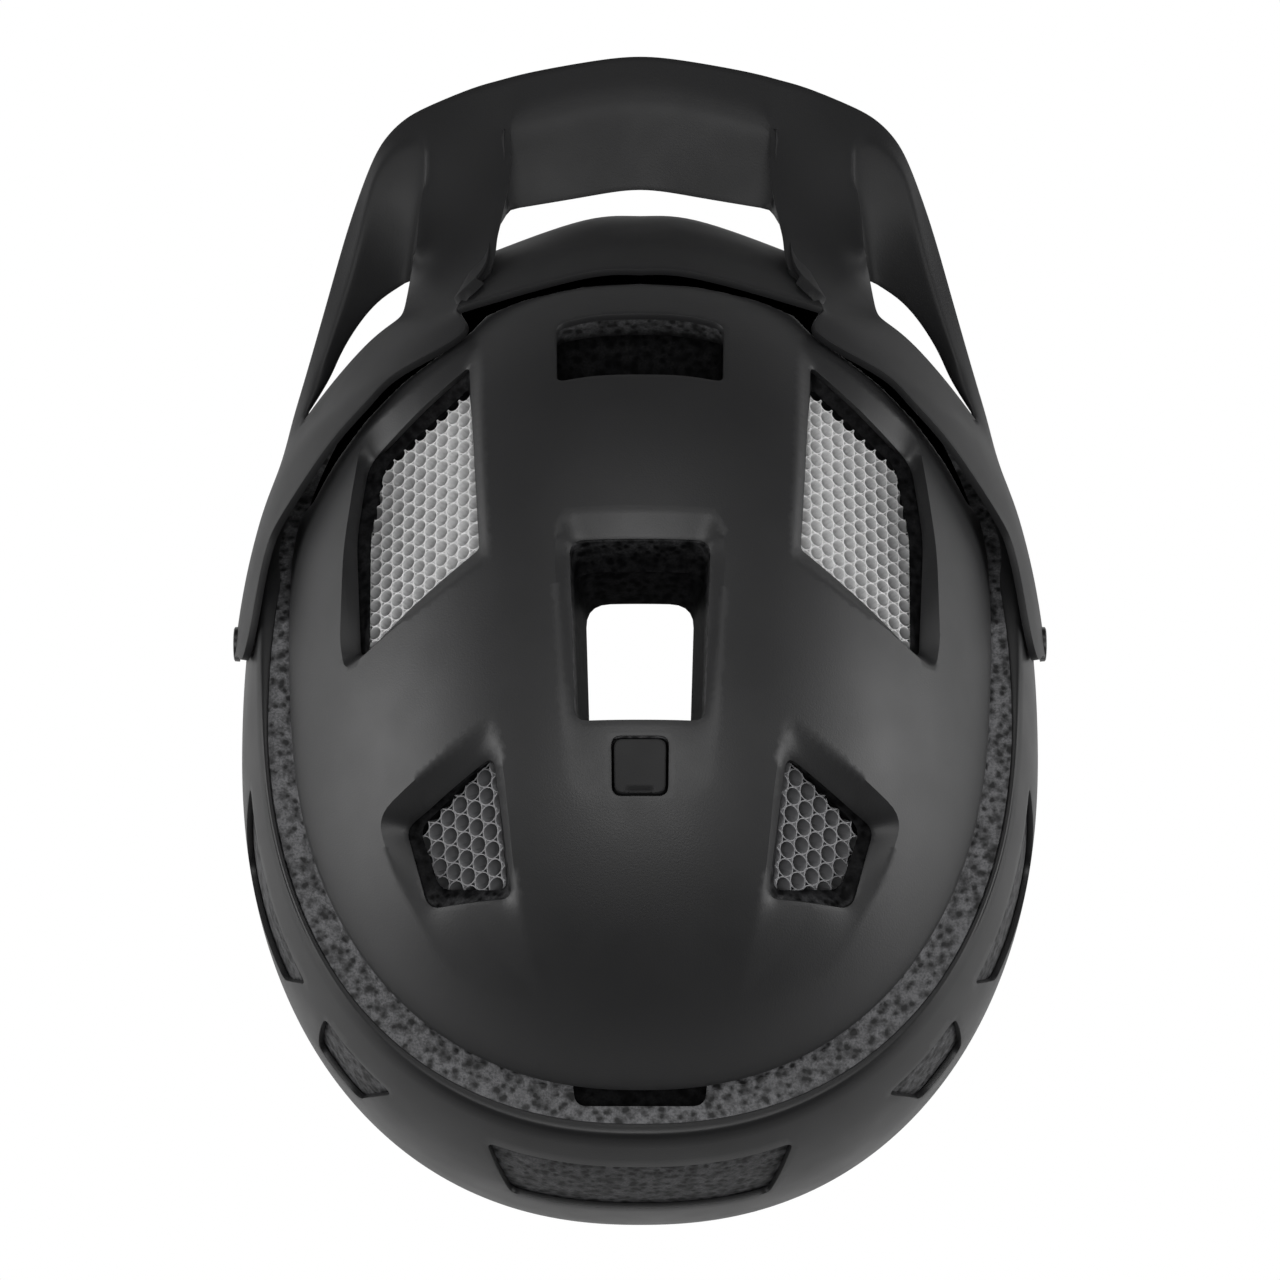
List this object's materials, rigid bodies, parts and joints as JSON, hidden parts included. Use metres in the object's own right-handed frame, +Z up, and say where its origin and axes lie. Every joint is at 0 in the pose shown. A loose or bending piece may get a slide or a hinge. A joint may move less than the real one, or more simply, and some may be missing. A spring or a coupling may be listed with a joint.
{
  "type": "cycling helmet",
  "caption": "Trail cycling helmet with tilting visor, honeycomb vent blocks, exposed foam ledge, dial fit cradle and buckled chin straps.",
  "frame": {"origin": "middle of the head opening, level with the rim at the brow", "axes": "-Y to the front, +X to the wearer's left, +Z up through the crown"},
  "size_m": [0.2276, 0.3268, 0.3113],
  "materials": {
    "black_polycarbonate": "matte black moulded polycarbonate",
    "eps_foam": "dark grey expanded bead foam",
    "honeycomb_tubes": "translucent grey welded tubes",
    "pin_nylon": "black nylon",
    "padding": "brushed knit over soft foam",
    "webbing": "woven polyester webbing",
    "anchor_nylon": "black nylon",
    "keeper_rubber": "moulded rubber",
    "buckle_acetal": "satin black acetal",
    "dial_rubber": "ribbed soft grip",
    "fit_nylon": "black nylon"
  },
  "bodies": {
    "helmet": {"brow_pad": "padding", "buckle_socket": "buckle_acetal", "chin_strap_left": "webbing", "crown_pad_left": "padding", "crown_pad_rear": "padding", "crown_pad_right": "padding", "crown_shell": "black_polycarbonate", "fit_guide": "fit_nylon", "foam_crown_front": "eps_foam", "foam_crown_left": "eps_foam", "foam_crown_rear": "eps_foam", "foam_crown_right": "eps_foam", "foam_ring_front": "eps_foam", "foam_ring_left": "eps_foam", "foam_ring_rear": "eps_foam", "foam_ring_right": "eps_foam", "honeycomb_front_left": "honeycomb_tubes", "honeycomb_front_right": "honeycomb_tubes", "honeycomb_rear_left": "honeycomb_tubes", "honeycomb_rear_right": "honeycomb_tubes", "lower_shell": "black_polycarbonate", "side_pad_left": "padding", "side_pad_right": "padding", "strap_anchor_front_left": "anchor_nylon", "strap_anchor_front_right": "anchor_nylon", "strap_anchor_rear_left": "anchor_nylon", "strap_anchor_rear_right": "anchor_nylon", "strap_divider_left": "buckle_acetal", "strap_divider_right": "buckle_acetal", "strap_front_left": "webbing", "strap_front_right": "webbing", "strap_rear_left": "webbing", "strap_rear_right": "webbing", "temple_anchor_left": "anchor_nylon", "temple_anchor_right": "anchor_nylon"},
    "visor": {"visor": "black_polycarbonate", "visor_pin_left": "pin_nylon", "visor_pin_right": "pin_nylon"},
    "plug": {"camera_mount_plug": "black_polycarbonate"},
    "cradle": {"fit_housing": "fit_nylon", "fit_cover": "fit_nylon", "fit_stem": "fit_nylon", "nape_pad": "padding"},
    "dial": {"fit_dial": "dial_rubber"},
    "left_arm": {"rack_left": "fit_nylon", "headband_left": "fit_nylon"},
    "right_arm": {"rack_right": "fit_nylon", "headband_right": "fit_nylon"},
    "left_latch": {"divider_latch_left": "buckle_acetal"},
    "right_latch": {"divider_latch_right": "buckle_acetal"},
    "tongue": {"buckle_tongue": "buckle_acetal", "chin_strap_right": "webbing"},
    "keeper": {"strap_keeper": "keeper_rubber"}
  },
  "joints": [
    {"name": "visor_tilt", "type": "hinge", "parent": "helmet", "child": "visor", "pos_m": [0, -0.014, 0.025], "axis": [-1, 0, 0], "range_deg": [0, 20]},
    {"name": "plug_pull", "type": "slide", "parent": "helmet", "child": "plug", "axis": [0, 0, 1], "range_m": [0, 0.009]},
    {"name": "cradle_height", "type": "slide", "parent": "helmet", "child": "cradle", "axis": [0, 0, 1], "range_m": [-0.006, 0.006], "deforming": ["headband_left", "headband_right"]},
    {"name": "dial_turn", "type": "hinge", "parent": "cradle", "child": "dial", "pos_m": [0, 0.094, -0.067], "axis": [0, 1, 0], "range_deg": [0, 150]},
    {"name": "left_rack_slide", "type": "slide", "parent": "cradle", "child": "left_arm", "axis": [-1, 0, 0], "range_m": [0, 0.008], "deforming": ["headband_left"]},
    {"name": "right_rack_slide", "type": "slide", "parent": "cradle", "child": "right_arm", "axis": [1, 0, 0], "range_m": [0, 0.008], "deforming": ["headband_right"]},
    {"name": "left_latch_hinge", "type": "hinge", "parent": "helmet", "child": "left_latch", "pos_m": [0.0765, 0.002, -0.093], "axis": [0, -1, 0], "range_deg": [0, 75]},
    {"name": "right_latch_hinge", "type": "hinge", "parent": "helmet", "child": "right_latch", "pos_m": [-0.0765, 0.002, -0.093], "axis": [0, 1, 0], "range_deg": [0, 75]},
    {"name": "buckle_release", "type": "slide", "parent": "helmet", "child": "tongue", "axis": [-1, 0, 0], "range_m": [0, 0.022], "deforming": ["chin_strap_right"]},
    {"name": "keeper_slide", "type": "slide", "parent": "helmet", "child": "keeper", "axis": [-0.515, -0.4635, -0.721], "range_m": [-0.005, 0.008]}
  ],
  "couplings": [
    {"joint": "left_rack_slide", "follows": "dial_turn", "m_per_rad": 0.0030531},
    {"joint": "right_rack_slide", "follows": "dial_turn", "m_per_rad": 0.0030531}
  ]
}
